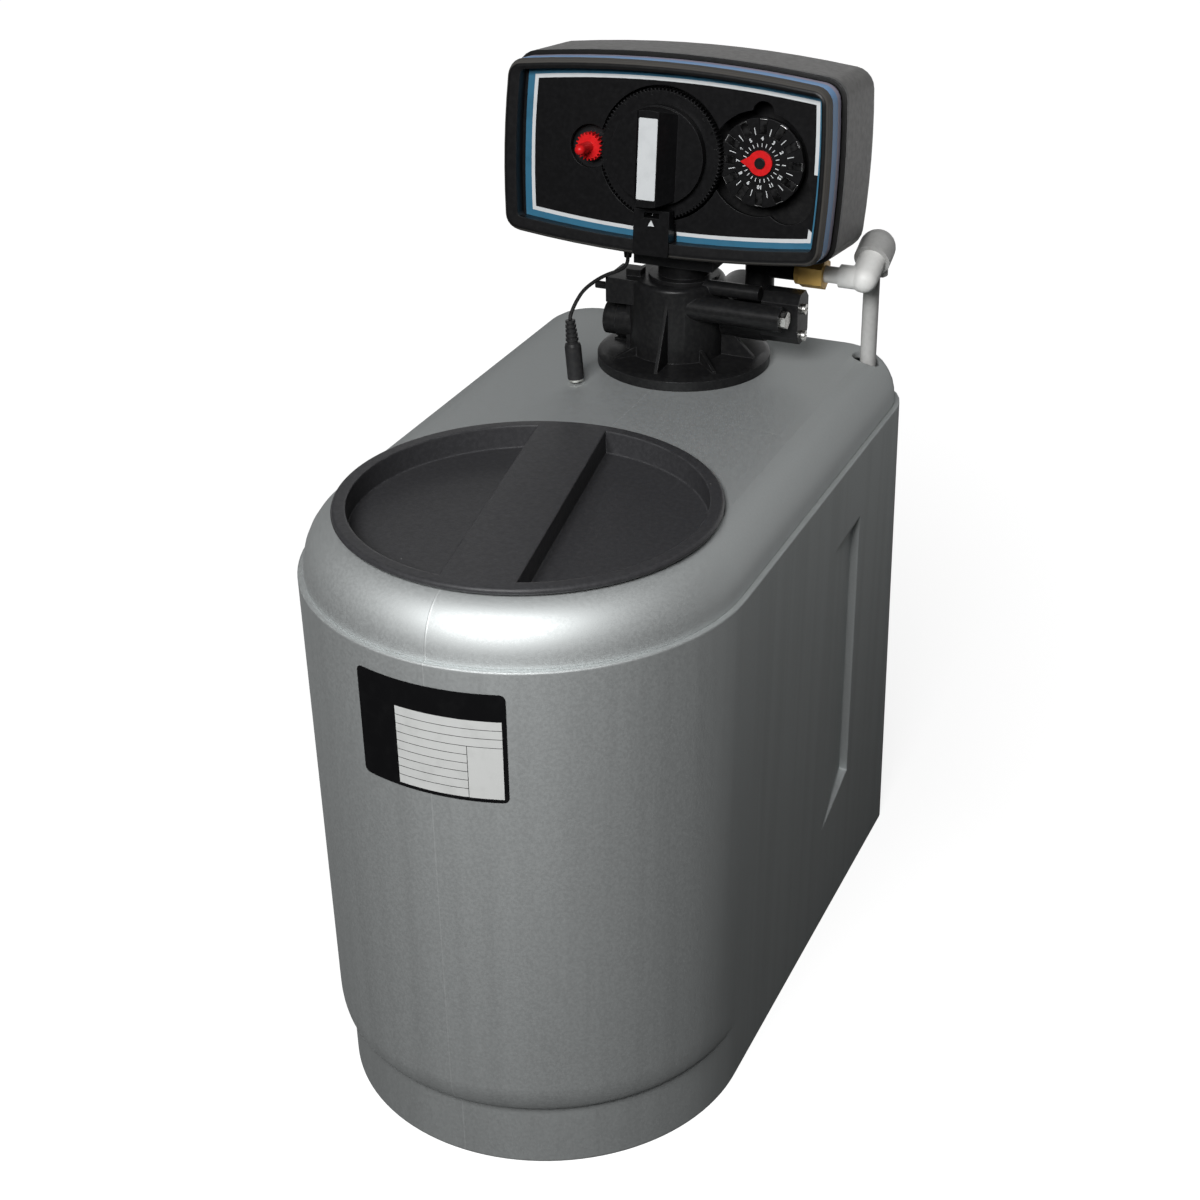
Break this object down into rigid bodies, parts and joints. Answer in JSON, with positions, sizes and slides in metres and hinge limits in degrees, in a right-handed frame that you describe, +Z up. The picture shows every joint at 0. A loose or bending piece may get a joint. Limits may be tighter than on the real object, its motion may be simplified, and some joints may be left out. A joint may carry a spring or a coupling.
{
  "type": "cabinet water softener",
  "caption": "Cabinet water softener: rounded brine tank with a salt lid, an inner resin vessel, and a top valve driven by a mechanical timer head.",
  "frame": {"origin": "on the floor, under the middle of the cabinet's bounding box", "axes": "+Z up, -Y towards the front with the round salt lid, +X to the right seen from the front"},
  "size_m": [0.238, 0.4252, 0.5278],
  "materials": {
    "cabinet_grey": "satin blow-moulded plastic",
    "lid_black": "fine textured plastic",
    "plate_black": "printed film, blank ruled field",
    "vessel_blue": "wound glass-fibre shell",
    "white_plastic": "natural white plastic",
    "grey_plastic": "grey plastic",
    "black_plastic": "black moulded plastic",
    "head_grey": "dark moulded plastic",
    "head_black": "satin black plastic",
    "stripe_blue": "light blue band, lilac-grey to the back",
    "seal_rubber": "black rubber",
    "brass": "machined brass",
    "steel": "plain steel",
    "red_plastic": "red plastic",
    "tab_metal": "dark metal tabs"
  },
  "bodies": {
    "cabinet": {"brine_tank": "cabinet_grey", "cabinet_cover": "cabinet_grey", "rating_plate": "plate_black", "resin_vessel": "vessel_blue", "vessel_base": "black_plastic", "riser_tube": "white_plastic", "lower_distributor": "white_plastic", "upper_distributor": "white_plastic", "valve_body": "black_plastic", "tank_oring": "seal_rubber", "valve_seals": "seal_rubber", "seal_spacers": "white_plastic", "end_plug": "black_plastic", "injector_body": "black_plastic", "injector_nozzle": "white_plastic", "injector_screws": "steel", "brine_valve_body": "black_plastic", "brine_valve_spring": "steel", "drain_fitting": "black_plastic", "brine_nut": "brass", "brine_elbow": "white_plastic", "tube_connector": "grey_plastic", "brine_tube": "grey_plastic", "brine_well": "white_plastic", "brine_pickup": "white_plastic", "head_housing": "head_grey", "head_bezel": "head_black", "bezel_stripe": "stripe_blue", "dial_panel": "head_black", "time_window": "head_black", "gear_plate": "black_plastic", "timer_motor": "steel", "skip_pointer": "red_plastic", "head_screws": "steel", "lead_gland": "black_plastic", "power_lead": "seal_rubber", "dc_socket": "black_plastic"},
    "lid": {"salt_lid": "lid_black"},
    "knob": {"main_knob": "head_black", "drive_cam": "grey_plastic"},
    "day_dial": {"day_gear": "head_black"},
    "set_button": {"set_shaft": "steel"},
    "set_gear": {"set_pinion": "red_plastic"},
    "motor_gear": {"motor_pinion": "brass"},
    "skipper": {"skipper_wheel": "head_black"},
    "piston_rod": {"piston": "grey_plastic"},
    "brine_stem": {"brine_valve_stem": "brass"},
    "check_ball": {"air_check_ball": "red_plastic"},
    "tab_1": {"skip_tab_1": "tab_metal"},
    "tab_2": {"skip_tab_2": "tab_metal"},
    "tab_3": {"skip_tab_3": "tab_metal"},
    "tab_4": {"skip_tab_4": "tab_metal"},
    "tab_5": {"skip_tab_5": "tab_metal"},
    "tab_6": {"skip_tab_6": "tab_metal"},
    "tab_7": {"skip_tab_7": "tab_metal"},
    "tab_8": {"skip_tab_8": "tab_metal"},
    "tab_9": {"skip_tab_9": "tab_metal"},
    "tab_10": {"skip_tab_10": "tab_metal"},
    "tab_11": {"skip_tab_11": "tab_metal"},
    "tab_12": {"skip_tab_12": "tab_metal"}
  },
  "joints": [
    {"name": "lid_lift", "type": "slide", "parent": "cabinet", "child": "lid", "axis": [0, 0, 1], "range_m": [0, 0.12]},
    {"name": "knob_turn", "type": "hinge", "parent": "cabinet", "child": "knob", "pos_m": [0, 0.08118, 0.4779], "axis": [0, -0.9936, 0.1132], "continuous": true},
    {"name": "day_gear_turn", "type": "hinge", "parent": "cabinet", "child": "day_dial", "pos_m": [0, 0.08614, 0.47733], "axis": [0, -0.9936, 0.1132], "continuous": true},
    {"name": "set_button_push", "type": "slide", "parent": "cabinet", "child": "set_button", "axis": [0, 0.9936, -0.1132], "range_m": [0, 0.006], "stiffness_N_per_m": 100, "springref_m": -0.004},
    {"name": "set_pinion_turn", "type": "hinge", "parent": "set_button", "child": "set_gear", "pos_m": [-0.04235, 0.08614, 0.47733], "axis": [0, -0.9936, 0.1132], "continuous": true},
    {"name": "motor_pinion_turn", "type": "hinge", "parent": "cabinet", "child": "motor_gear", "pos_m": [-0.05594, 0.09798, 0.49288], "axis": [0, -0.9936, 0.1132], "continuous": true},
    {"name": "skipper_turn", "type": "hinge", "parent": "cabinet", "child": "skipper", "pos_m": [0.0565, 0.09213, 0.47685], "axis": [0, -0.9936, 0.1132], "continuous": true},
    {"name": "piston_slide", "type": "slide", "parent": "cabinet", "child": "piston_rod", "axis": [0, 0, 1], "range_m": [0, 0.014]},
    {"name": "brine_valve_push", "type": "slide", "parent": "cabinet", "child": "brine_stem", "axis": [0, 0, -1], "range_m": [0, 0.004], "stiffness_N_per_m": 300, "springref_m": -0.004, "deforming": ["brine_valve_spring"]},
    {"name": "check_ball_float", "type": "slide", "parent": "cabinet", "child": "check_ball", "axis": [0, 0, 1], "range_m": [0, 0.008]},
    {"name": "tab_1_slide", "type": "slide", "parent": "skipper", "child": "tab_1", "axis": [1, 0, 0], "range_m": [0, 0.003]},
    {"name": "tab_2_slide", "type": "slide", "parent": "skipper", "child": "tab_2", "axis": [0.866, 0.0566, 0.4968], "range_m": [0, 0.003]},
    {"name": "tab_3_slide", "type": "slide", "parent": "skipper", "child": "tab_3", "axis": [0.5, 0.098, 0.8605], "range_m": [0, 0.003]},
    {"name": "tab_4_slide", "type": "slide", "parent": "skipper", "child": "tab_4", "axis": [0, 0.1132, 0.9936], "range_m": [0, 0.003]},
    {"name": "tab_5_slide", "type": "slide", "parent": "skipper", "child": "tab_5", "axis": [-0.5, 0.098, 0.8605], "range_m": [0, 0.003]},
    {"name": "tab_6_slide", "type": "slide", "parent": "skipper", "child": "tab_6", "axis": [-0.866, 0.0566, 0.4968], "range_m": [0, 0.003]},
    {"name": "tab_7_slide", "type": "slide", "parent": "skipper", "child": "tab_7", "axis": [-1, 0, 0], "range_m": [0, 0.003]},
    {"name": "tab_8_slide", "type": "slide", "parent": "skipper", "child": "tab_8", "axis": [-0.866, -0.0566, -0.4968], "range_m": [0, 0.003]},
    {"name": "tab_9_slide", "type": "slide", "parent": "skipper", "child": "tab_9", "axis": [-0.5, -0.098, -0.8605], "range_m": [0, 0.003]},
    {"name": "tab_10_slide", "type": "slide", "parent": "skipper", "child": "tab_10", "axis": [0, -0.1132, -0.9936], "range_m": [0, 0.003]},
    {"name": "tab_11_slide", "type": "slide", "parent": "skipper", "child": "tab_11", "axis": [0.5, -0.098, -0.8605], "range_m": [0, 0.003]},
    {"name": "tab_12_slide", "type": "slide", "parent": "skipper", "child": "tab_12", "axis": [0.866, -0.0566, -0.4968], "range_m": [0, 0.003]}
  ],
  "couplings": [
    {"joint": "set_pinion_turn", "follows": "day_gear_turn", "ratio": -4.7619},
    {"joint": "motor_pinion_turn", "follows": "day_gear_turn", "ratio": 23.81}
  ]
}
